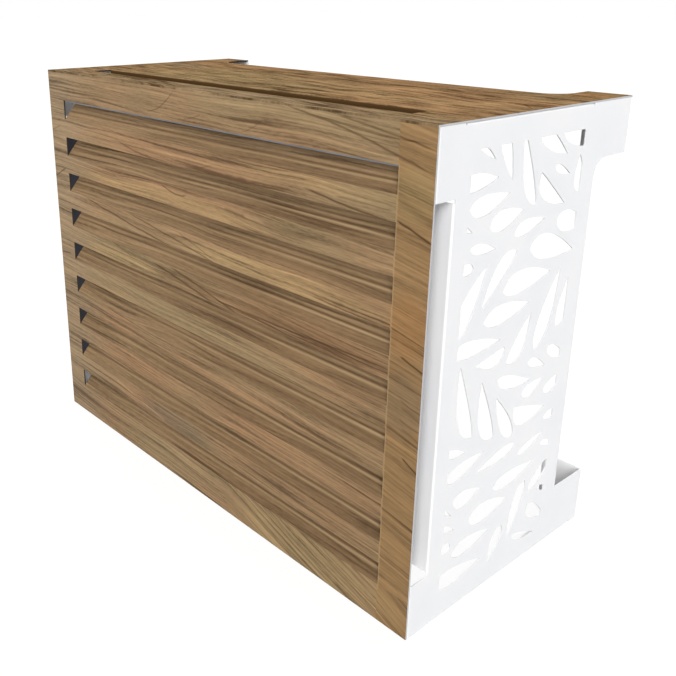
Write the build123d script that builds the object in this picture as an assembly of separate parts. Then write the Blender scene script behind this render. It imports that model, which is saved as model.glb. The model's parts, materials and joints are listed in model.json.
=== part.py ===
"""Sheet-metal cover for an outdoor air conditioner unit.

A louvred front and a roof of wood-effect sheet stand on two white side panels with leaf-shaped
cut-outs. The back and the bottom are open, so the cover goes over the unit and is screwed to the
wall behind it. Millimetres, +Z up, front towards -Y, origin in the middle of the footprint.
"""
import os
from math import cos, radians, sin, tan

from build123d import *

# Overall size
WIDTH = 1060.0
DEPTH = 500.0
HEIGHT = 800.0

# Sheet and profile thicknesses, and the bends
PANEL_T = 3.0
SIDE_T = 2.0
PROFILE_T = 2.0
INNER_BEND = 1.0
KERF = 1.0

# Louvres of the front panel: a tongue cut on three sides and pushed in from the top. Its outer face
# is a little longer than the opening is high, because the bend stretches it.
LOUVRE_COUNT = 9
LOUVRE_PITCH = 79.0
LOUVRE_LENGTH = 936.0
LOUVRE_HEIGHT = 40.5
LOUVRE_TILT = 40.0
TONGUE_LENGTH = 41.6
TOP_BORDER = 60.0

# Roof: air slot near the front, wide cut-out at the back between two ears
SLOT_LENGTH = 876.0
SLOT_FRONT = 57.0
SLOT_BACK = 101.0
EAR_WIDTH = 78.0
CUT_OUT_FRONT = 414.0
CUT_OUT_RADIUS = 45.0

# Side panel: C-shaped at the back, notched at the front
EAR_BOTTOM = 707.0
FOOT_TOP = 105.0
BACK_EDGE = 405.0
EAR_RADIUS = 30.0
NOTCH_BOTTOM = 97.0
NOTCH_TOP = 697.0
TAB_DEPTH = 43.0
TAB_RELIEF = 6.0
TAB_WIDTH = 34.0
FRONT_FLANGE = 50.0
WALL_FLANGE = 80.0
TOP_FLANGE = 30.0
BOTTOM_FLANGE = 30.0
FLANGE_FRONT = 60.0
TOP_FLANGE_BACK = 380.0
BOTTOM_FLANGE_BACK = 470.0
FOLD_RELIEF = 4.0

# Leaf field of the side panel: the leaves are cut off square at its border
FIELD_FRONT, FIELD_BACK = 77.0, 366.0
FIELD_BOTTOM, FIELD_TOP = 38.0, 759.0

# Wall fixing holes, one in each wall flange
WALL_HOLE_X = 475.0
WALL_HOLE_LOW = 52.0
WALL_HOLE_HIGH = 752.0
WALL_HOLE_R = 4.25

# Stiffening angles. The one behind the top border hangs 3 mm below it, where its edge shows as a
# thin grey line over the top louvre.
ANGLE_LENGTH = 940.0
ANGLE_LEG = 25.0
TOP_ANGLE_DROP = 60.0
RAIL_HEIGHT = 15.0
REAR_ANGLE_LENGTH = 760.0
REAR_ANGLE_LEG = 20.0
REAR_ANGLE_BACK = 410.0

# Weld studs M5 with washers and lock nuts
STUD_R = 2.5
STUD_LENGTH = 13.0
STUD_TIP = 0.6
STUD_HOLE_R = 3.0
WASHER_R = 5.5
WASHER_HOLE_R = 2.65
WASHER_T = 1.0
NUT_FLATS = 8.0
NUT_HEIGHT = 4.0
NUT_COLLAR_R = 3.5
NUT_COLLAR_HEIGHT = 1.0
NUT_BORE_R = 2.55

# Where the studs stand
CORNER_STUD_X = 507.0
CORNER_STUD_Z = (28.0, 72.0, 724.0, 768.0)
ROOF_STUD_X = 514.0
ROOF_STUD_DEPTH = (90.0, 180.0, 270.0, 350.0)
FRONT_ANGLE_STUD_X = (-400.0, -200.0, 0.0, 200.0, 400.0)
FRONT_ANGLE_STUD_Z = 781.0
ROOF_ANGLE_STUD_X = (-300.0, -100.0, 100.0, 300.0)
ROOF_ANGLE_STUD_DEPTH = 19.0
RAIL_STUD_Z = 30.0
REAR_STUD_X = (-330.0, -110.0, 110.0, 330.0)
REAR_STUD_DEPTH = 399.0

# Derived places
HALF_WIDTH = WIDTH / 2
FRONT_Y = -DEPTH / 2
ROOF_UNDER = HEIGHT - PANEL_T

# Leaves of the side panel, as seen from its outer face with the front at the left. Each leaf runs
# from its root to its tip, given as distance from the front and height, and swells by so much to
# the left and to the right of that line.
LEAVES = (
    ((94, 760), (132, 740), 7, 2),
    ((150, 790), (178, 704), 8, 18),
    ((244, 658), (198, 778), 22, 5),
    ((238, 775), (319, 726), 10, 18),
    ((300, 768), (400, 732), 15, 17),
    ((56, 710), (143, 714), 15, 11),
    ((80, 676), (174, 687), 13, 18),
    ((131, 643), (214, 656), 17, 15),
    ((194, 620), (274, 633), 15, 9),
    ((62, 655), (90, 643), 4, 5),
    ((88, 618), (151, 608), 9, 8),
    ((100, 588), (52, 597), 10, 8),
    ((253, 706), (326, 648), 1, 27),
    ((288, 711), (332, 694), 6, 7),
    ((372, 660), (357, 722), 20, 8),
    ((309, 625), (400, 608), 16, 20),
    ((241, 592), (367, 566), 24, 18),
    ((76, 484), (135, 588), 26, 9),
    ((207, 594), (126, 516), 4, 25),
    ((180, 534), (307, 541), 25, 14),
    ((136, 496), (255, 501), 18, 15),
    ((58, 464), (185, 457), 15, 13),
    ((199, 441), (124, 430), 24, 1),
    ((133, 308), (88, 441), 28, 4),
    ((190, 286), (146, 398), 29, 5),
    ((245, 270), (188, 357), 19, 10),
    ((206, 410), (264, 483), 6, 27),
    ((283, 412), (338, 543), 17, 20),
    ((344, 436), (372, 530), 12, 24),
    ((187, 388), (282, 359), 8, 16),
    ((268, 393), (322, 374), 10, 6),
    ((325, 405), (388, 372), 8, 13),
    ((260, 340), (321, 352), 8, 16),
    ((326, 325), (388, 346), 8, 16),
    ((242, 321), (337, 295), 2, 33),
    ((338, 270), (392, 272), 9, 8),
    ((62, 303), (119, 287), 7, 9),
    ((70, 254), (171, 270), 12, 16),
    ((257, 250), (149, 237), 11, 11),
    ((268, 226), (345, 244), 7, 9),
    ((338, 222), (382, 206), 7, 6),
    ((96, 208), (169, 204), 11, 20),
    ((62, 204), (94, 184), 5, 3),
    ((203, 188), (321, 193), 13, 16),
    ((316, 134), (386, 188), 15, 10),
    ((60, 172), (104, 154), 7, 7),
    ((142, 152), (250, 151), 20, 17),
    ((99, 124), (55, 131), 10, 10),
    ((103, 106), (206, 110), 16, 14),
    ((60, 70), (186, 61), 14, 20),
    ((240, 100), (207, 42), 13, 15),
    ((300, 163), (261, 66), 11, 19),
    ((318, 108), (376, 62), 8, 20),
    ((344, 130), (384, 112), 6, 5),
    ((278, 61), (348, 38), 4, 11),
)

# Outline of one side of a leaf, as shares of its length and of its swelling: blunt at the root
# and slender at the tip
NEAR_ROOT = (0.12, 1.6)
NEAR_TIP = (0.6, 1.0)


# Places and directions
def at_depth(distance):
    """Y of a point that lies so far behind the front face."""
    return FRONT_Y + distance


def save(shape, node):
    export_step(shape, f"parts/{node}.step")


def bent_section(first_leg, second_leg, thickness):
    """L-shaped section of a folded sheet: outer corner at the origin, legs along +X and +Y."""
    outline = Polygon(
        (0, 0), (first_leg, 0), (first_leg, thickness),
        (thickness, thickness), (thickness, second_leg), (0, second_leg),
        align=None,
    )
    inner = outline.vertices().sort_by_distance((thickness, thickness, 0))[0]
    outline = fillet(inner, INNER_BEND)
    outer = outline.vertices().sort_by_distance((0, 0, 0))[0]
    return fillet(outer, INNER_BEND + thickness)


def folded_strip(corner, first_dir, along, first_leg, second_leg, length, thickness=SIDE_T):
    """A folded strip: corner is its outer corner, along the direction of the fold line."""
    plane = Plane(origin=corner, x_dir=first_dir, z_dir=along)
    return extrude(plane * bent_section(first_leg, second_leg, thickness), length)


def angle_profile(corner, first_dir, first_leg, second_leg, length):
    """An extruded angle along X with sharp outer corner, centred on the middle of the cover."""
    plane = Plane(origin=corner, x_dir=first_dir, z_dir=(1, 0, 0))
    section = Polygon(
        (0, 0), (first_leg, 0), (first_leg, PROFILE_T),
        (PROFILE_T, PROFILE_T), (PROFILE_T, second_leg), (0, second_leg),
        align=None,
    )
    return extrude(plane * section, length / 2, both=True)


def drill(points, direction, radius):
    """Cylinders through the points, long enough for any sheet of the cover."""
    reach = 4 * PANEL_T
    circle = Circle(radius)
    return [extrude(Plane(origin=point, z_dir=direction) * circle, reach, both=True) for point in points]


# Front panel
def louvre_bottoms():
    """Height of each louvre's fold line, from the top one down."""
    highest = HEIGHT - TOP_BORDER - LOUVRE_HEIGHT
    return [highest - LOUVRE_PITCH * row for row in range(LOUVRE_COUNT)]


def louvre_flap(fold_height):
    """One tongue: it leaves the sheet at its lower edge and leans inwards."""
    tilt = radians(LOUVRE_TILT)
    overlap = 2 * PANEL_T
    tip = (TONGUE_LENGTH * sin(tilt), fold_height + TONGUE_LENGTH * cos(tilt))
    tip_back = (tip[0] + PANEL_T * cos(tilt), tip[1] - PANEL_T * sin(tilt))
    inner_corner = (PANEL_T, fold_height - PANEL_T * tan(tilt / 2))
    section = Polygon(
        (0, fold_height - overlap), (0, fold_height), tip, tip_back, inner_corner,
        (PANEL_T, fold_height - overlap),
        align=None,
    )
    corner = section.vertices().sort_by_distance((*inner_corner, 0))[0]
    section = fillet(corner, INNER_BEND)
    corner = section.vertices().sort_by_distance((0, fold_height, 0))[0]
    section = fillet(corner, INNER_BEND + PANEL_T)
    plane = Plane(origin=(0, FRONT_Y, 0), x_dir=(0, 1, 0), z_dir=(1, 0, 0))
    return extrude(plane * section, LOUVRE_LENGTH / 2 - KERF, both=True)


def front_panel():
    plane = Plane(origin=(0, at_depth(PANEL_T), 0), x_dir=(1, 0, 0), z_dir=(0, -1, 0))
    sheet = Pos(0, ROOF_UNDER / 2) * Rectangle(WIDTH, ROOF_UNDER)
    openings = [
        Pos(0, bottom + LOUVRE_HEIGHT / 2) * Rectangle(LOUVRE_LENGTH, LOUVRE_HEIGHT)
        for bottom in louvre_bottoms()
    ]
    plate = extrude(plane * (sheet - openings), PANEL_T)
    return plate + [louvre_flap(bottom) for bottom in louvre_bottoms()]


# Roof panel
def roof_panel():
    sheet = Pos(0, at_depth(DEPTH / 2)) * Rectangle(WIDTH, DEPTH)
    cut_width = WIDTH - 2 * EAR_WIDTH
    cut_depth = DEPTH - CUT_OUT_FRONT
    cut_out = Pos(0, at_depth(CUT_OUT_FRONT) + cut_depth) * Rectangle(cut_width, 2 * cut_depth)
    cut_out = fillet(cut_out.vertices(), CUT_OUT_RADIUS)
    slot_depth = SLOT_BACK - SLOT_FRONT
    slot = Pos(0, at_depth(SLOT_FRONT + slot_depth / 2)) * Rectangle(SLOT_LENGTH, slot_depth)
    tongue_end = INNER_BEND + PANEL_T
    relief = Pos(0, at_depth(SLOT_BACK)) * Rectangle(SLOT_LENGTH - 2 * KERF, 2 * tongue_end)
    plate = extrude(Pos(0, 0, ROOF_UNDER) * (sheet - cut_out - slot - relief), PANEL_T)
    corner = (-SLOT_LENGTH / 2 + KERF, at_depth(SLOT_BACK), HEIGHT)
    tongue = folded_strip(
        corner, (0, 0, -1), (1, 0, 0), slot_depth, 3 * tongue_end, SLOT_LENGTH - 2 * KERF, PANEL_T
    )
    return plate + tongue


# Side panels
def leaf(root, tip, left, right):
    """A leaf between its root and its tip, swelling to both sides of that line."""
    start, end = Vector(*root), Vector(*tip)
    along = end - start
    sideways = along.normalized().rotate(Axis.Z, 90)

    def side(swelling):
        handles = [start + along * run + sideways * (swelling * rise) for run, rise in (NEAR_ROOT, NEAR_TIP)]
        return Bezier(start, *handles, end)

    return make_face([side(left), side(-right)])


def side_sheet():
    """The flat of the right side panel with its leaves, without the folds round it."""
    set_back = INNER_BEND + SIDE_T
    low, high = Vector(PANEL_T + set_back, 0), Vector(DEPTH - set_back, ROOF_UNDER)
    sheet = Pos((low + high) / 2) * Rectangle(high.X - low.X, high.Y - low.Y)

    gap = Polygon(
        (BACK_EDGE, FOOT_TOP), (2 * DEPTH, FOOT_TOP), (2 * DEPTH, EAR_BOTTOM), (BACK_EDGE, EAR_BOTTOM),
        align=None,
    )
    gap = fillet(gap.vertices().sort_by_distance((BACK_EDGE, EAR_BOTTOM, 0))[0], EAR_RADIUS)

    notch_back = TAB_DEPTH + set_back
    notch = Pos(0, (NOTCH_BOTTOM + NOTCH_TOP) / 2) * Rectangle(2 * notch_back, NOTCH_TOP - NOTCH_BOTTOM)

    top_run = (FLANGE_FRONT - FOLD_RELIEF, TOP_FLANGE_BACK + FOLD_RELIEF)
    top_fold = Pos(sum(top_run) / 2, ROOF_UNDER) * Rectangle(top_run[1] - top_run[0], 2 * set_back)
    low_run = (FLANGE_FRONT - FOLD_RELIEF, BOTTOM_FLANGE_BACK + FOLD_RELIEF)
    low_fold = Pos(sum(low_run) / 2, 0) * Rectangle(low_run[1] - low_run[0], 2 * set_back)

    field_size = (FIELD_BACK - FIELD_FRONT, FIELD_TOP - FIELD_BOTTOM)
    field = Pos((FIELD_FRONT + FIELD_BACK) / 2, (FIELD_BOTTOM + FIELD_TOP) / 2) * Rectangle(*field_size)
    leaves = [leaf(*one) & field for one in LEAVES]

    plane = Plane(origin=(HALF_WIDTH - SIDE_T, FRONT_Y, 0), x_dir=(0, 1, 0), z_dir=(1, 0, 0))
    return extrude(plane * (sheet - gap - notch - top_fold - low_fold - leaves), SIDE_T)


def side_panel():
    """The right side panel, with its flanges folded inwards."""
    back, left, up, down = (0, 1, 0), (-1, 0, 0), (0, 0, 1), (0, 0, -1)
    root = 4 * SIDE_T

    def at_front(distance, bottom, top, width):
        corner = (HALF_WIDTH, at_depth(distance), bottom)
        return folded_strip(corner, back, up, root, width, top - bottom)

    def at_wall(bottom, top):
        corner = (HALF_WIDTH, at_depth(DEPTH), bottom)
        return folded_strip(corner, left, up, WALL_FLANGE, root, top - bottom)

    top_corner = (HALF_WIDTH, at_depth(FLANGE_FRONT), ROOF_UNDER)
    low_corner = (HALF_WIDTH, at_depth(FLANGE_FRONT), 0)
    folds = [
        at_front(PANEL_T, 0, NOTCH_BOTTOM, FRONT_FLANGE),
        at_front(PANEL_T, NOTCH_TOP, ROOF_UNDER, FRONT_FLANGE),
        at_front(TAB_DEPTH, NOTCH_BOTTOM + TAB_RELIEF, NOTCH_TOP - TAB_RELIEF, TAB_WIDTH),
        at_wall(0, FOOT_TOP),
        at_wall(EAR_BOTTOM, ROOF_UNDER),
        folded_strip(top_corner, down, back, root, TOP_FLANGE, TOP_FLANGE_BACK - FLANGE_FRONT),
        folded_strip(low_corner, left, back, BOTTOM_FLANGE, root, BOTTOM_FLANGE_BACK - FLANGE_FRONT),
    ]
    corner_holes = [(CORNER_STUD_X, at_depth(PANEL_T), height) for height in CORNER_STUD_Z]
    roof_holes = [(ROOF_STUD_X, at_depth(depth), ROOF_UNDER) for depth in ROOF_STUD_DEPTH]
    wall_holes = [(WALL_HOLE_X, at_depth(DEPTH), height) for height in (WALL_HOLE_LOW, WALL_HOLE_HIGH)]
    holes = (
        drill(corner_holes, back, STUD_HOLE_R)
        + drill(roof_holes, up, STUD_HOLE_R)
        + drill(wall_holes, back, WALL_HOLE_R)
    )
    return side_sheet() + folds - holes


# Stiffening angles
def top_front_angle():
    """Ties the top of the front panel to the front of the roof."""
    corner = (0, at_depth(PANEL_T), ROOF_UNDER)
    angle = angle_profile(corner, (0, 0, -1), TOP_ANGLE_DROP, ANGLE_LEG, ANGLE_LENGTH)
    front_holes = [(x, at_depth(PANEL_T), FRONT_ANGLE_STUD_Z) for x in FRONT_ANGLE_STUD_X]
    roof_holes = [(x, at_depth(ROOF_ANGLE_STUD_DEPTH), ROOF_UNDER) for x in ROOF_ANGLE_STUD_X]
    return angle - drill(front_holes, (0, 1, 0), STUD_HOLE_R) - drill(roof_holes, (0, 0, 1), STUD_HOLE_R)


def bottom_rail():
    """Stiffens the lower border of the front panel."""
    corner = (0, at_depth(PANEL_T), RAIL_HEIGHT)
    angle = angle_profile(corner, (0, 1, 0), ANGLE_LEG, ANGLE_LEG, ANGLE_LENGTH)
    holes = [(x, at_depth(PANEL_T), RAIL_STUD_Z) for x in FRONT_ANGLE_STUD_X]
    return angle - drill(holes, (0, 1, 0), STUD_HOLE_R)


def roof_rear_angle():
    """Stiffens the roof along its cut-out."""
    corner = (0, at_depth(REAR_ANGLE_BACK), ROOF_UNDER)
    angle = angle_profile(corner, (0, -1, 0), REAR_ANGLE_LEG, REAR_ANGLE_LEG, REAR_ANGLE_LENGTH)
    holes = [(x, at_depth(REAR_STUD_DEPTH), ROOF_UNDER) for x in REAR_STUD_X]
    return angle - drill(holes, (0, 0, 1), STUD_HOLE_R)


# Fasteners, each built along +Z from the face that its stud is welded to
def stud():
    body = extrude(Circle(STUD_R), STUD_LENGTH)
    return chamfer(body.edges().sort_by(Axis.Z)[-1], STUD_TIP)


def washer(clamped):
    return Pos(0, 0, clamped) * extrude(Circle(WASHER_R) - Circle(WASHER_HOLE_R), WASHER_T)


def lock_nut(clamped):
    base = clamped + WASHER_T
    hexagon = RegularPolygon(NUT_FLATS / 2, 6, major_radius=False)
    body = extrude(hexagon, NUT_HEIGHT)
    rounding = extrude(Circle(NUT_FLATS * 0.57), NUT_HEIGHT)
    rounding = chamfer(rounding.edges(), NUT_HEIGHT / 6)
    collar = Pos(0, 0, NUT_HEIGHT) * extrude(Circle(NUT_COLLAR_R), NUT_COLLAR_HEIGHT)
    bore = extrude(Circle(NUT_BORE_R), NUT_HEIGHT + NUT_COLLAR_HEIGHT)
    return Pos(0, 0, base) * ((body & rounding) + collar - bore)


def fasten(name, points, direction, clamped):
    """Write the studs, washers and nuts of one joint, as three groups of loose pieces."""
    seats = [Plane(origin=point, z_dir=direction).location for point in points]
    pieces = {"studs": stud(), "washers": washer(clamped), "nuts": lock_nut(clamped)}
    for kind, piece in pieces.items():
        save(Compound(children=[seat * piece for seat in seats]), f"{name}_{kind}")


def main():
    os.makedirs("parts", exist_ok=True)
    right = side_panel()
    save(front_panel(), "front_panel")
    save(roof_panel(), "roof_panel")
    save(right, "side_panel_right")
    save(mirror(right, about=Plane.YZ), "side_panel_left")
    save(top_front_angle(), "top_front_angle")
    save(bottom_rail(), "bottom_rail")
    save(roof_rear_angle(), "roof_rear_angle")

    back, down = (0, 1, 0), (0, 0, -1)
    panel_back = at_depth(PANEL_T)
    sides = (-1, 1)
    corners = [(side * CORNER_STUD_X, panel_back, z) for side in sides for z in CORNER_STUD_Z]
    fasten("front_corner", corners, back, SIDE_T)
    roof_edges = [
        (side * ROOF_STUD_X, at_depth(depth), ROOF_UNDER) for side in sides for depth in ROOF_STUD_DEPTH
    ]
    fasten("roof_side", roof_edges, down, SIDE_T)
    on_front = [(x, panel_back, FRONT_ANGLE_STUD_Z) for x in FRONT_ANGLE_STUD_X]
    fasten("angle_front", on_front, back, PROFILE_T)
    under_roof = [(x, at_depth(ROOF_ANGLE_STUD_DEPTH), ROOF_UNDER) for x in ROOF_ANGLE_STUD_X]
    fasten("angle_roof", under_roof, down, PROFILE_T)
    fasten("bottom_rail", [(x, panel_back, RAIL_STUD_Z) for x in FRONT_ANGLE_STUD_X], back, PROFILE_T)
    at_rear = [(x, at_depth(REAR_STUD_DEPTH), ROOF_UNDER) for x in REAR_STUD_X]
    fasten("rear_angle", at_rear, down, PROFILE_T)


main()
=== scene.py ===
"""Looks of the air conditioner cover: materials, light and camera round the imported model."""
import json
from math import cos, pi, radians, sin

import bmesh
import bpy
from mathutils import Euler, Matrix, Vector


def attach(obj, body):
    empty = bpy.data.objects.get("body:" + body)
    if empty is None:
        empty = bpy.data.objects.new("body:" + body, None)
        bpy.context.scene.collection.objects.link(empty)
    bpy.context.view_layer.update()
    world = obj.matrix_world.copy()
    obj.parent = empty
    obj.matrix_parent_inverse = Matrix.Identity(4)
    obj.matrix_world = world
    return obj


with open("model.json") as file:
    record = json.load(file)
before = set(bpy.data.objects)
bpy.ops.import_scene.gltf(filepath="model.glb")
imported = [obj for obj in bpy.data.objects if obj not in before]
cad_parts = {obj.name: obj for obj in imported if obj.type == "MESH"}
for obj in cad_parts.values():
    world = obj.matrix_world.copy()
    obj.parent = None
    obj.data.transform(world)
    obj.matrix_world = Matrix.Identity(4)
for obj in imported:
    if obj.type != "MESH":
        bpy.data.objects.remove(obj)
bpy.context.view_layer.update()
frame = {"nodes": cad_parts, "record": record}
nodes = frame["nodes"]

# Places on the cover that the materials need, in metres
FRONT_Y = -0.250
LOUVRE_PITCH = 0.079
LOWEST_FOLD = 0.0675
LOUVRE_TILT = radians(40)
OPENING_HALF = 0.468


def srgb(red, green, blue):
    """Colour given as it looks on a screen, 0 to 255, as Blender's linear colour."""
    def linear(value):
        value /= 255
        return value / 12.92 if value <= 0.04045 else ((value + 0.055) / 1.055) ** 2.4
    return (linear(red), linear(green), linear(blue), 1)


class Graph:
    """The shader nodes of one material or of the world, made from calls on their outputs."""

    def __init__(self, owner):
        owner.use_nodes = True
        self.tree = owner.node_tree
        self.tree.nodes.clear()

    def node(self, kind, inputs=None, **settings):
        made = self.tree.nodes.new(kind)
        for key, value in settings.items():
            setattr(made, key, value)
        for key, value in (inputs or {}).items():
            self.put(made.inputs[key], value)
        return made

    def put(self, socket, value):
        if isinstance(value, bpy.types.NodeSocket):
            self.tree.links.new(value, socket)
        else:
            socket.default_value = value

    def math(self, operation, *values, clamp=False):
        made = self.node("ShaderNodeMath", operation=operation, use_clamp=clamp)
        for socket, value in zip(made.inputs, values):
            self.put(socket, value)
        return made.outputs[0]

    def add(self, a, b):
        return self.math("ADD", a, b)

    def sub(self, a, b):
        return self.math("SUBTRACT", a, b)

    def mul(self, a, b):
        return self.math("MULTIPLY", a, b)

    def madd(self, a, b, c):
        return self.math("MULTIPLY_ADD", a, b, c)

    def absolute(self, value):
        return self.math("ABSOLUTE", value)

    def step(self, value, low, high):
        """0 below low and 1 above high, smooth in between. Low may be the larger one."""
        limits = {"Value": value, "From Min": low, "From Max": high}
        return self.node("ShaderNodeMapRange", limits, interpolation_type="SMOOTHSTEP").outputs["Result"]

    def remap(self, value, low, high, to_low=0.0, to_high=1.0, clamp=True):
        limits = {
            "Value": value, "From Min": low, "From Max": high, "To Min": to_low, "To Max": to_high,
        }
        return self.node("ShaderNodeMapRange", limits, clamp=clamp).outputs["Result"]

    def ridge(self, value, centre, half_width):
        """1 where value is centre, falling to 0 at half_width away from it."""
        distance = self.absolute(self.sub(value, centre))
        return self.math("MULTIPLY_ADD", distance, -1 / half_width, 1.0, clamp=True)

    def mix(self, factor, a, b):
        """Colour from a to b. Sockets 6 and 7 are the node's two colours, output 2 the result."""
        return self.node("ShaderNodeMix", {0: factor, 6: a, 7: b}, data_type="RGBA").outputs[2]

    def blend(self, factor, a, b):
        """Number from a to b. Sockets 2 and 3 are the node's two numbers."""
        return self.node("ShaderNodeMix", {0: factor, 2: a, 3: b}, data_type="FLOAT").outputs[0]

    def vector(self, x=0.0, y=0.0, z=0.0):
        return self.node("ShaderNodeCombineXYZ", {"X": x, "Y": y, "Z": z}).outputs[0]

    def noise(self, vector, scale=1.0, detail=2.0, roughness=0.5):
        look = {"Vector": vector, "Scale": scale, "Detail": detail, "Roughness": roughness}
        return self.node("ShaderNodeTexNoise", look).outputs[0]

    def streaks(self, along, across, detail=2.0, roughness=0.5, seed=0.0):
        """Noise from -1 to 1 on coordinates that are already scaled."""
        value = self.noise(self.vector(along, across, seed), 1.0, detail, roughness)
        return self.remap(value, 0.25, 0.75, -1.0, 1.0)

    def place(self):
        """X, Y and Z of the shaded point, in the cover's own frame."""
        made = self.node("ShaderNodeTexCoord")
        split = self.node("ShaderNodeSeparateXYZ", {"Vector": made.outputs["Object"]})
        return split.outputs

    def facing(self):
        """X, Y and Z of the surface's normal."""
        made = self.node("ShaderNodeNewGeometry")
        split = self.node("ShaderNodeSeparateXYZ", {"Vector": made.outputs["True Normal"]})
        return split.outputs

    def bump(self, height, strength, distance):
        relief = {"Height": height, "Strength": strength, "Distance": distance}
        return self.node("ShaderNodeBump", relief).outputs[0]

    def surface(self, colour, roughness, normal, **values):
        """Principled surface; the other values are named after its sockets."""
        shader = self.node("ShaderNodeBsdfPrincipled", {"Base Color": colour, "Roughness": roughness})
        self.put(shader.inputs["Normal"], normal)
        for key, value in values.items():
            self.put(shader.inputs[key.replace("_", " ")], value)
        self.node("ShaderNodeOutputMaterial", {"Surface": shader.outputs[0]})


def new_material(name):
    material = bpy.data.materials.new(name)
    return material, Graph(material)


def finish_node(node, material):
    for one in nodes[node].material_slots:
        one.material = material


# Camera, at the photograph's viewing angle
camera_data = bpy.data.cameras.new("camera")
camera = bpy.data.objects.new("camera", camera_data)
bpy.context.scene.collection.objects.link(camera)
bpy.context.scene.camera = camera
camera.location = (1.1859, -1.1010, 0.9572)
camera.rotation_euler = Euler((radians(71.586), 0, radians(49.353)))
camera_data.sensor_width = 36
camera_data.lens = 44.42
camera_data.shift_x = 0.1077
camera_data.shift_y = -0.0991
camera_data.clip_start, camera_data.clip_end = 0.05, 100


bpy.context.scene.view_settings.view_transform = "Standard"


# Light: wide sun lamps, which light the whole cover evenly however far away they stand
LAMP_DISTANCE = 4


def soft_light(name, direction, level, degrees_wide):
    """Level is how bright a white surface facing the light gets, 1 being white."""
    lamp = bpy.data.lights.new(name, "SUN")
    lamp.energy, lamp.angle = level * pi, radians(degrees_wide)
    holder = bpy.data.objects.new(name, lamp)
    holder.location = Vector(direction).normalized() * LAMP_DISTANCE
    holder.rotation_euler = Vector(direction).to_track_quat("Z", "Y").to_euler()
    bpy.context.scene.collection.objects.link(holder)


soft_light("key_light", (0.64, -0.77, 0.24), 0.75, 40)
soft_light("high_light", (0.55, -0.55, 0.65), 0.44, 30)
soft_light("right_light", (1.0, -0.10, 0.20), 0.20, 50)
soft_light("top_light", (0.15, 0.10, 1.0), 0.13, 40)
soft_light("back_light", (-0.05, 1.0, 0.30), 0.45, 40)
soft_light("left_light", (-1.0, 0.10, 0.0), 0.40, 30)
soft_light("fill_light", (-0.9, 0.6, 0.45), 0.42, 50)


def backdrop_share(graph):
    """1 for rays that show the background in the picture, in glass or in a reflection."""
    path = graph.node("ShaderNodeLightPath").outputs
    share = graph.math("MAXIMUM", path["Is Camera Ray"], path["Is Glossy Ray"])
    return graph.math("MAXIMUM", share, path["Is Transmission Ray"])


# The world looks white and lights the cover only a little
AMBIENT = 0.08

world = bpy.data.worlds.new("world")
bpy.context.scene.world = world
graph = Graph(world)
strength = graph.madd(backdrop_share(graph), 1 - AMBIENT, AMBIENT)
background = graph.node("ShaderNodeBackground", {"Color": (1, 1, 1, 1), "Strength": strength})
graph.node("ShaderNodeOutputWorld", {"Surface": background.outputs[0]})

# Floor: half a millimetre below the cover, white to the camera, with the cover's shadow on it
FLOOR_SIZE = 60
FLOOR_Z = -0.0005
FLOOR_GREY = 0.20
FLOOR_GLOW = 0.86

bpy.ops.mesh.primitive_plane_add(size=FLOOR_SIZE, location=(0, 0, FLOOR_Z))
floor = bpy.context.object
floor.name = "floor"
floor_material, graph = new_material("floor")
pale = graph.node("ShaderNodeBsdfDiffuse", {"Color": (FLOOR_GREY, FLOOR_GREY, FLOOR_GREY, 1)})
glow = graph.node("ShaderNodeEmission", {"Strength": graph.mul(backdrop_share(graph), FLOOR_GLOW)})
both = graph.node("ShaderNodeAddShader", {0: pale.outputs[0], 1: glow.outputs[0]})
graph.node("ShaderNodeOutputMaterial", {"Surface": both.outputs[0]})
floor.data.materials.append(floor_material)

# Wood effect: the sheets' inner faces; the cut edges and the roof slot's tongue dark as painted shade
BASE_COAT = srgb(92, 76, 60)
# Painted shade: the cut edges inside the cover and the slot's tongue are dark where shade falls
SHADED_CUT_EDGE = srgb(58, 50, 46)
BARE_EDGE = srgb(196, 196, 198)
SHADED_SLOT_TONGUE = srgb(82, 60, 36)

# Ground colours of the front panel's print: in patches of two, at the left and on the right stile. The
# tongues' colours at their left and right ends are darker as painted shade, with painted light near the
# tongues' tips
FRONT_OLIVE, FRONT_RED = srgb(148, 126, 93), srgb(156, 123, 90)
FRONT_LEFT = srgb(152, 129, 100)
FRONT_STILE = srgb(152, 121, 83)
# Painted shade of the recessed tongues, and painted light at their tips against the shadow of the strip
# above
SHADED_TONGUE_LEFT, SHADED_TONGUE_RIGHT = srgb(137, 112, 82), srgb(124, 99, 71)
LIT_TONGUE_TIP = srgb(158, 130, 97)

# Ground colours of the roof's print, and of its front strip
ROOF_OLIVE, ROOF_RED = srgb(141, 118, 84), srgb(148, 116, 82)
ROOF_FRONT = srgb(137, 115, 86)

# Patches, veins and single strokes
PALE, DARK, COOL = srgb(178, 150, 106), srgb(122, 92, 64), srgb(120, 106, 86)
ORANGE, OLIVE = srgb(166, 120, 74), srgb(154, 134, 92)
VEIN_BROWN = srgb(92, 62, 36)
STROKE_DARK, STROKE_LIGHT = srgb(74, 50, 30), srgb(200, 172, 130)

# Layers of the grain: noise scale along and across it, per metre
WAVER_SCALE = (2.6, 9.0)
BAND_SCALE = (1.6, 30.0)
LINE_SCALE = (2.0, 95.0)
FINE_SCALE = (5.0, 230.0)
FLECK_SCALE = (48.0, 420.0)
WAVER_REACH = 0.0065

# Slope of the grain on the front panel's flat parts, and what is added at its right stile and in
# its lower right corner. The roof has its own, and the print moves on from louvre to louvre.
FLAT_SLOPE, STILE_SLOPE, CORNER_SLOPE = 0.02, 0.16, 0.27
ROOF_SLOPE = 0.03
PRINT_SHIFT = 0.35

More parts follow.
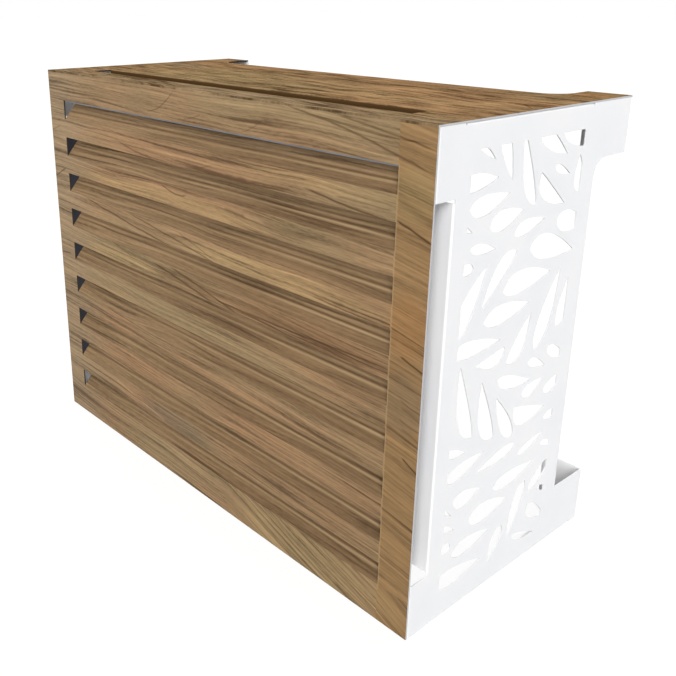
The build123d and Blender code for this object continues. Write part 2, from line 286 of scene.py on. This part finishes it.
# How much each layer lightens the wood, the least tone, and how brown the dark places turn
BAND_WEIGHT = 0.11
LINE_WEIGHT = -0.17
FINE_WEIGHT = 0.30
FLECK_WEIGHT = 0.16
VEIN_WEIGHT = -0.30
LEAST_TONE = 0.45
BROWN_SHARE = 0.40

# Single strokes taper off over about their first and last eighth
TAPER = 9.0


def stroke(graph, x, z, start, end, sag, half_width):
    """1 along a thin line from start to end, bent down by sag in the middle, tapering off at both ends."""
    share = graph.remap(x, start[0], end[0], clamp=False)
    bow = graph.mul(share, graph.sub(1.0, share))
    line = graph.madd(share, end[1] - start[1], start[1])
    if sag:
        line = graph.madd(bow, -4 * sag, line)
    distance = graph.absolute(graph.sub(z, line))
    taper = graph.math("MULTIPLY", bow, TAPER, clamp=True)
    return graph.math("MULTIPLY_ADD", distance, -1 / half_width, taper, clamp=True)


def strokes(graph, x, z, rows):
    """Sum of the strokes' weights; a negative weight is a light line. Rows in millimetres."""
    total = 0.0
    for x0, z0, x1, z1, sag, half_width, weight in rows:
        start, end = (x0 / 1000, z0 / 1000), (x1 / 1000, z1 / 1000)
        one = stroke(graph, x, z, start, end, sag / 1000, half_width / 1000)
        total = graph.madd(one, weight, total)
    return total


def patches(graph, x, z, base, rows):
    """The base with soft oval patches of other colours over it. Rows in millimetres."""
    for centre_x, centre_z, reach_x, reach_z, colour, weight in rows:
        aside = graph.mul(graph.sub(x, centre_x / 1000), 1000 / reach_x)
        above = graph.mul(graph.sub(z, centre_z / 1000), 1000 / reach_z)
        radius = graph.madd(above, above, graph.mul(aside, aside))
        base = graph.mix(graph.mul(graph.step(radius, 1.0, 0.2), weight), base, colour)
    return base


def grain(graph, along, across, seed=0.0):
    """Bands, lines, fine lines and short flecks of the printed wood, on coordinates in metres."""
    def layer(scale, detail, roughness, offset):
        scaled = graph.mul(along, scale[0]), graph.mul(across, scale[1])
        return graph.streaks(*scaled, detail, roughness, seed + offset)

    waver = layer(WAVER_SCALE, 2.0, 0.5, 3.1)
    across = graph.madd(waver, WAVER_REACH, across)
    bands = layer(BAND_SCALE, 1.0, 0.6, 0.7)
    lines = layer(LINE_SCALE, 2.0, 0.65, 8.4)
    fine = layer(FINE_SCALE, 1.0, 0.7, 5.2)
    flecks = layer(FLECK_SCALE, 2.0, 0.7, 1.9)
    return bands, lines, fine, flecks


def wood_colour(graph, base, layers, ink, level, contrast):
    """Base colour shaded by the grain, with the single strokes over it, and the relief of both."""
    bands, lines, fine, flecks = layers
    vein = graph.mul(graph.step(lines, 0.30, 0.90), graph.step(bands, 0.7, -0.4))
    swing = graph.madd(bands, BAND_WEIGHT, graph.mul(lines, LINE_WEIGHT))
    swing = graph.madd(fine, FINE_WEIGHT, swing)
    swing = graph.madd(flecks, FLECK_WEIGHT, swing)
    swing = graph.mul(graph.madd(vein, VEIN_WEIGHT, swing), contrast)
    tone = graph.math("MAXIMUM", graph.add(swing, level), LEAST_TONE)
    scaled = graph.node("ShaderNodeVectorMath", {0: base, "Scale": tone}, operation="SCALE")
    brown = graph.mul(graph.step(swing, -0.10, -0.60), BROWN_SHARE)
    shaded = graph.mix(brown, scaled.outputs[0], VEIN_BROWN)
    dark = graph.math("MINIMUM", graph.math("MAXIMUM", ink, 0.0), 1.0)
    light = graph.math("MINIMUM", graph.math("MAXIMUM", graph.mul(ink, -1.0), 0.0), 1.0)
    shaded = graph.mix(dark, shaded, STROKE_DARK)
    shaded = graph.mix(light, shaded, STROKE_LIGHT)
    relief = graph.madd(vein, -0.5, graph.mul(fine, 0.3))
    return shaded, graph.madd(dark, -1.0, relief)


def with_edges(graph, x, normal_x, colour):
    """The colour with the cut edges that face sideways: dark inside the cover as painted shade, bare at
    its sides.
    """
    edge = graph.mix(graph.step(graph.absolute(x), 0.50, 0.52), SHADED_CUT_EDGE, BARE_EDGE)
    return graph.mix(graph.step(graph.absolute(normal_x), 0.4, 0.6), colour, edge)


def wood_surface(graph, colour, relief, fine, roughness, specular):
    normal = graph.bump(relief, 0.35, 0.00035)
    graph.surface(colour, graph.madd(fine, 0.05, roughness), normal, Specular_IOR_Level=specular)


# Lines that stand out in the print of the front panel: x0, z0, x1, z1, sag, half width, weight
FRONT_STROKES = (
    (466, 665, 536, 641, 0, 3.0, 1.0), (486, 468, 536, 454, 0, 2.8, 1.0),
    (500, 311, 536, 293, 0, 2.8, 1.0), (462, 697, 540, 668, 0, 13.0, 0.40),
    (-262, 683, -60, 657, 5, 2.6, 0.60), (-90, 656, 62, 682, 8, 2.2, 0.35),
    (280, 680, 474, 660, 4, 2.8, 0.85), (345, 677, 470, 676, 0, 2.2, 0.45),
    (-110, 622, -20, 611, 9, 2.4, 0.70), (180, 606, 300, 600, 2, 6.5, 0.35),
    (84, 609, 145, 606, 1, 3.2, 0.55), (-420, 543, -60, 500, 2, 2.6, 0.80),
    (-245, 542, 80, 500, 0, 2.6, 0.65), (-60, 536, 60, 507, 0, 2.2, 0.45),
    (-310, 466, -215, 448, 0, 2.4, 0.50), (-150, 457, 60, 423, 0, 3.2, 0.80),
    (-95, 461, 130, 422, -2, 2.8, 0.80), (40, 434, 478, 443, 3, 2.4, 0.85),
    (20, 440, 300, 432, 2, 1.8, -0.45), (-400, 381, -330, 371, 0, 2.2, -0.45),
    (-330, 377, -215, 366, 0, 2.2, -0.40), (350, 381, 472, 379, 0, 4.5, 0.40),
    (-320, 138, -240, 128, 0, 2.4, -0.50), (-220, 125, -120, 112, 0, 2.4, -0.45),
    (226, 800, 538, 731, -8, 2.8, 0.70), (345, 794, 538, 764, -3, 2.6, 0.65),
    (306, 790, 536, 774, 5, 2.2, 0.40), (130, 744, 190, 771, 4, 2.0, 0.35),
    (-150, 751, -52, 796, 12, 2.2, 0.55), (-30, 747, 28, 762, 2, 2.0, 0.40),
    (-533, 566, -478, 592, 0, 2.8, 0.75), (-533, 389, -484, 393, 0, 2.8, 0.75),
    (-532, 671, -490, 683, 0, 2.4, 0.45), (490, 402, 534, 392, 2, 2.4, 0.50),
    (494, 388, 534, 377, -2, 2.2, 0.45), (490, 371, 534, 363, 2, 2.2, 0.45),
    (496, 356, 534, 345, -2, 2.2, 0.40),
)

# Soft patches of other colours on the front panel: x, z, reach along x and z, colour, weight
FRONT_PATCHES = (
    (-100, 592, 350, 24, PALE, 0.50), (210, 516, 310, 26, PALE, 0.55),
    (-260, 436, 180, 20, PALE, 0.45), (300, 690, 210, 14, PALE, 0.35),
    (270, 441, 290, 26, DARK, 0.45), (-40, 441, 140, 24, DARK, 0.35),
    (-90, 115, 150, 62, COOL, 0.45), (499, 515, 45, 62, ORANGE, 0.45),
    (499, 702, 45, 48, OLIVE, 0.40), (499, 395, 45, 60, COOL, 0.35), (320, 32, 260, 45, PALE, 0.35),
)

# Lines along every louvre: distance from the fold, half width, weight at the left and right ends.
# The distances hold on the middle louvre and grow by the drift, in metres, on each one below it.
LOUVRE_LINES = (
    (19.3, 3.6, 0.05, -0.62), (23.7, 3.0, 0.55, 0.70), (28.5, 3.4, -0.08, -0.30),
    (33.0, 3.0, 0.25, 0.40),
)
LINE_DRIFT = 0.0006
MIDDLE_ROW = 4
SEAM_WEIGHT = -0.40

# Lines that stand out on the roof: x0, depth0, x1, depth1, sag, half width, weight
ROOF_STROKES = (
    (-365, 345, -95, 318, 2, 6.5, 0.85), (-120, 328, -20, 300, 4, 9.0, 0.50),
    (-50, 298, 60, 308, 4, 8.0, 0.45), (0, 340, 150, 357, 2, 6.0, 0.45),
    (130, 356, 262, 384, 2, 6.0, 0.45), (212, 279, 362, 249, 2, 4.5, 0.95),
    (378, 264, 415, 259, 0, 5.0, 0.80), (446, 268, 500, 258, 0, 5.5, 0.85),
    (480, 264, 520, 226, 0, 4.5, 0.60), (370, 235, 442, 226, 0, 7.0, 0.50),
    (452, 436, 534, 406, 0, 6.0, 0.70), (-534, 340, -450, 324, 2, 9.0, 0.45),
    (-440, 230, -250, 190, 3, 6.0, 0.40), (-120, 250, 60, 225, 3, 5.0, 0.35),
    (60, 175, 300, 150, 3, 5.0, 0.35), (-200, 140, 20, 122, 3, 5.0, 0.35),
    (300, 200, 420, 180, 2, 5.0, -0.35), (-350, 290, -180, 268, 2, 5.0, -0.35),
    (40, 270, 180, 250, 2, 6.0, -0.30), (-60, 380, 80, 400, 2, 6.0, 0.35),
)

# Soft patches of other colours on the roof: x, depth, reach along x and depth, colour, weight
ROOF_PATCHES = (
    (60, 310, 220, 30, DARK, 0.40), (-250, 335, 170, 22, DARK, 0.45),
    (220, 190, 260, 40, PALE, 0.20), (-200, 200, 220, 40, PALE, 0.18),
    (495, 440, 50, 50, ORANGE, 0.40), (100, 30, 300, 24, COOL, 0.30),
    (-430, 300, 100, 40, COOL, 0.35),
)


def louvre_place(graph, z):
    """Row of the louvre at a height, counted from the lowest, and the run from its fold."""
    above = graph.sub(z, LOWEST_FOLD)
    run = graph.mul(graph.math("FLOORED_MODULO", above, LOUVRE_PITCH), 1 / cos(LOUVRE_TILT))
    row = graph.math("FLOOR", graph.mul(above, 1 / LOUVRE_PITCH))
    return row, run


def front_across(graph, x, z, stile):
    """Place across the grain off the tongues. At the right stile and the lower right the grain slants."""
    below = graph.step(z, 0.070, 0.067)
    corner = graph.math("MULTIPLY", below, graph.math("MAXIMUM", graph.sub(x, 0.08), 0.0))
    across = graph.madd(x, FLAT_SLOPE, z)
    across = graph.madd(graph.mul(stile, graph.sub(x, 0.45)), STILE_SLOPE, across)
    return graph.madd(corner, CORNER_SLOPE, across)


def front_base(graph, x, z, stile, tongue, run):
    """Ground colour: cooler at the left, redder or more olive in patches; tongues darker as painted shade,
    lighter at their tips as painted light.
    """
    patch = graph.streaks(graph.mul(x, 2.4), graph.mul(z, 7.0), 1.0, 0.5, 4.4)
    base = graph.mix(graph.step(patch, -0.8, 0.8), FRONT_OLIVE, FRONT_RED)
    base = graph.mix(graph.step(x, -0.30, -0.50), base, FRONT_LEFT)
    base = graph.mix(stile, base, FRONT_STILE)
    base = patches(graph, x, z, base, FRONT_PATCHES)
    # Painted shade on the tongues, turning to painted light towards their tips
    shaded_tongue_base = graph.mix(graph.remap(x, -0.30, 0.15), SHADED_TONGUE_LEFT, SHADED_TONGUE_RIGHT)
    shaded_tongue_base = graph.mix(graph.remap(run, 0.018, 0.036), shaded_tongue_base, LIT_TONGUE_TIP)
    return graph.mix(tongue, base, shaded_tongue_base)


def louvre_ink(graph, x, tongue, row, run):
    """The lines along the tongues, weaker and stronger in places."""
    share = graph.remap(x, -OPENING_HALF, OPENING_HALF)
    print_run = graph.madd(row, LINE_DRIFT, graph.sub(run, MIDDLE_ROW * LINE_DRIFT))
    ink = 0.0
    for distance, half_width, left, right in LOUVRE_LINES:
        line = graph.ridge(print_run, distance / 1000, half_width / 1000)
        ink = graph.madd(line, graph.madd(share, right - left, left), ink)
    spread = graph.noise(graph.vector(graph.mul(x, 3.0), graph.mul(row, 3.7), 0.5))
    fade = graph.remap(spread, 0.3, 0.7, 0.6, 1.2)
    return graph.mul(ink, graph.mul(tongue, fade))


def seam(graph, x, z, flat):
    """1 on the pale line where the louvre field ends at the right, over the height of the field."""
    line = graph.mul(graph.ridge(x, OPENING_HALF + 0.0005, 0.0024), flat)
    return graph.mul(line, graph.mul(graph.step(z, 0.055, 0.065), graph.step(z, 0.745, 0.738)))


def front_wood():
    material, graph = new_material("wood_front")
    x, _, z = graph.place()
    normal_x, normal_y, normal_z = graph.facing()
    row, run = louvre_place(graph, z)
    tongue = graph.step(normal_z, 0.08, 0.4)
    stile = graph.step(x, OPENING_HALF - 0.0015, OPENING_HALF + 0.0005)
    flat = graph.sub(1.0, tongue)

    on_tongue = graph.madd(row, PRINT_SHIFT, run)
    across = graph.blend(tongue, front_across(graph, x, z, stile), on_tongue)
    layers = grain(graph, x, across)
    base = front_base(graph, x, z, stile, tongue, run)

    wobble = graph.streaks(graph.mul(x, 16.0), 0.0, 2.0, 0.6, 2.5)
    ink = graph.mul(strokes(graph, x, graph.madd(wobble, 0.0016, z), FRONT_STROKES), flat)
    ink = graph.add(ink, louvre_ink(graph, x, tongue, row, run))
    ink = graph.madd(seam(graph, x, z, flat), SEAM_WEIGHT, ink)

    # A little darker towards the floor, and calmer on the right stile
    level = graph.remap(z, 0.0, 0.75, 0.94, 1.06)
    contrast = graph.madd(stile, -0.35, 1.25)
    colour, relief = wood_colour(graph, base, layers, ink, level, contrast)
    colour = graph.mix(graph.step(normal_y, 0.2, 0.5), colour, BASE_COAT)
    colour = with_edges(graph, x, normal_x, colour)
    wood_surface(graph, colour, relief, layers[2], 0.66, 0.15)
    return material


def roof_wood():
    material, graph = new_material("wood_roof")
    x, y, _ = graph.place()
    normal_x, normal_y, normal_z = graph.facing()
    depth = graph.sub(y, FRONT_Y)
    across = graph.madd(x, ROOF_SLOPE, depth)
    layers = grain(graph, graph.mul(x, 3.0), graph.mul(across, 0.55), 20.0)

    patch = graph.streaks(graph.mul(x, 2.0), graph.mul(depth, 6.0), 1.0, 0.5, 14.4)
    base = graph.mix(graph.step(patch, -0.8, 0.8), ROOF_OLIVE, ROOF_RED)
    base = graph.mix(graph.step(depth, 0.058, 0.050), base, ROOF_FRONT)
    base = patches(graph, x, depth, base, ROOF_PATCHES)

    wobble = graph.streaks(graph.mul(x, 16.0), 0.0, 2.0, 0.6, 7.5)
    ink = strokes(graph, x, graph.madd(wobble, 0.002, depth), ROOF_STROKES)
    colour, relief = wood_colour(graph, base, layers, ink, 1.05, 1.8)

    # The underside, and the two faces across the depth: the slot's tongue and the cut edges, both dark as
    # painted shade
    colour = graph.mix(graph.step(normal_z, -0.2, -0.5), colour, BASE_COAT)
    inside = graph.step(depth, 0.02, 0.04)
    # Painted shade on the slot's tongue and on the cut edges inside the slot
    colour = graph.mix(graph.mul(graph.step(normal_y, -0.4, -0.8), inside), colour, SHADED_SLOT_TONGUE)
    colour = graph.mix(graph.mul(graph.step(normal_y, 0.4, 0.8), inside), colour, SHADED_CUT_EDGE)
    colour = with_edges(graph, x, normal_x, colour)
    wood_surface(graph, colour, relief, layers[2], 0.70, 0.0)
    return material


def white_coat():
    """Matt powder coat: a fine even texture, hardly any sheen."""
    material, graph = new_material("white_coat")
    place = graph.vector(*graph.place())
    mottle = graph.noise(place, 9.0, 3.0)
    grit = graph.noise(place, 1400.0, 1.0)
    colour = graph.mix(graph.remap(mottle, 0.3, 0.7), srgb(239, 240, 242), srgb(244, 244, 245))
    normal = graph.bump(grit, 0.25, 0.0002)
    roughness = graph.remap(mottle, 0.3, 0.7, 0.52, 0.60)
    graph.surface(colour, roughness, normal, Specular_IOR_Level=0.25)
    return material


def aluminium(name, dark, pale):
    """Dull mill finish with the die lines of an extruded profile."""
    material, graph = new_material(name)
    x, y, z = graph.place()
    section = graph.vector(graph.mul(x, 1.5), graph.mul(y, 700.0), graph.mul(z, 700.0))
    die = graph.noise(section, 1.0, 2.0)
    cloud = graph.noise(graph.vector(x, y, z), 14.0, 3.0)
    colour = graph.mix(graph.remap(cloud, 0.3, 0.7), dark, pale)
    normal = graph.bump(die, 0.3, 0.0002)
    roughness = graph.remap(die, 0.3, 0.7, 0.42, 0.60)
    graph.surface(colour, roughness, normal, Metallic=0.75)
    return material


def stainless():
    """Turned and tumbled steel of the small fasteners."""
    material, graph = new_material("stainless")
    tumble = graph.noise(graph.vector(*graph.place()), 900.0, 3.0)
    colour = graph.mix(graph.remap(tumble, 0.3, 0.7), srgb(176, 175, 172), srgb(200, 199, 196))
    normal = graph.bump(tumble, 0.2, 0.0001)
    roughness = graph.remap(tumble, 0.3, 0.7, 0.26, 0.42)
    graph.surface(colour, roughness, normal, Metallic=1.0)
    return material


# Gap strips: folded strips on the backs of the set-back tabs. Their free legs run forwards and close the
# gap behind the front panel, as dark sheets of painted shade. Section as distances from the middle plane
# and Y, in metres.
BEND_CENTRE = (0.4965, -0.206)
BEND_INNER, BEND_OUTER = 0.0010, 0.0025
BEND_STEPS = 6
STRIP_END, STRIP_FRONT = 0.516, -0.2455
STRIP_BOTTOM, STRIP_TOP = 0.106, 0.688


def bend(radius):
    """Points of the quarter bend, from the leg on the tab to the free leg."""
    angles = [radians(90 + 90 * step / BEND_STEPS) for step in range(BEND_STEPS + 1)]
    return [(BEND_CENTRE[0] + radius * cos(a), BEND_CENTRE[1] + radius * sin(a)) for a in angles]


def gap_strip(name, side, material):
    """Side is -1 for the left strip and 1 for the right one."""
    near, far = bend(BEND_INNER), bend(BEND_OUTER)
    outline = [(STRIP_END, near[0][1]), *near, (near[-1][0], STRIP_FRONT)]
    outline += [(far[-1][0], STRIP_FRONT), *reversed(far), (STRIP_END, far[0][1])]
    shape = bmesh.new()
    low = [shape.verts.new((side * x, y, STRIP_BOTTOM)) for x, y in outline]
    high = [shape.verts.new((side * x, y, STRIP_TOP)) for x, y in outline]
    shape.faces.new(low)
    shape.faces.new(high)
    for index, start in enumerate(low):
        after = (index + 1) % len(low)
        shape.faces.new((start, low[after], high[after], high[index]))
    bmesh.ops.recalc_face_normals(shape, faces=shape.faces)
    mesh = bpy.data.meshes.new(name)
    shape.to_mesh(mesh)
    shape.free()
    mesh.materials.append(material)
    strip = bpy.data.objects.new(name, mesh)
    bpy.context.scene.collection.objects.link(strip)
    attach(strip, "root")


# Dull aluminium, darker than bare metal as painted shade, so the angle's edge in the top louvre gap reads
# dark
mill_finish_and_shade = aluminium("aluminium", srgb(116, 118, 124), srgb(136, 138, 143))
# Painted shade: near-black metal for the strips, which stand where there is only shade behind the louvres
painted_shade_finish = aluminium("painted_shade_aluminium", srgb(50, 50, 55), srgb(64, 64, 70))
finishes = {"white_coat": white_coat(), "aluminium": mill_finish_and_shade, "stainless": stainless()}
for part in frame["record"]["subparts"]:
    if part["material_slot"] in finishes:
        finish_node(part["node"], finishes[part["material_slot"]])
finish_node("front_panel", front_wood())
finish_node("roof_panel", roof_wood())
gap_strip("shade_strip_left", -1, painted_shade_finish)
gap_strip("shade_strip_right", 1, painted_shade_finish)
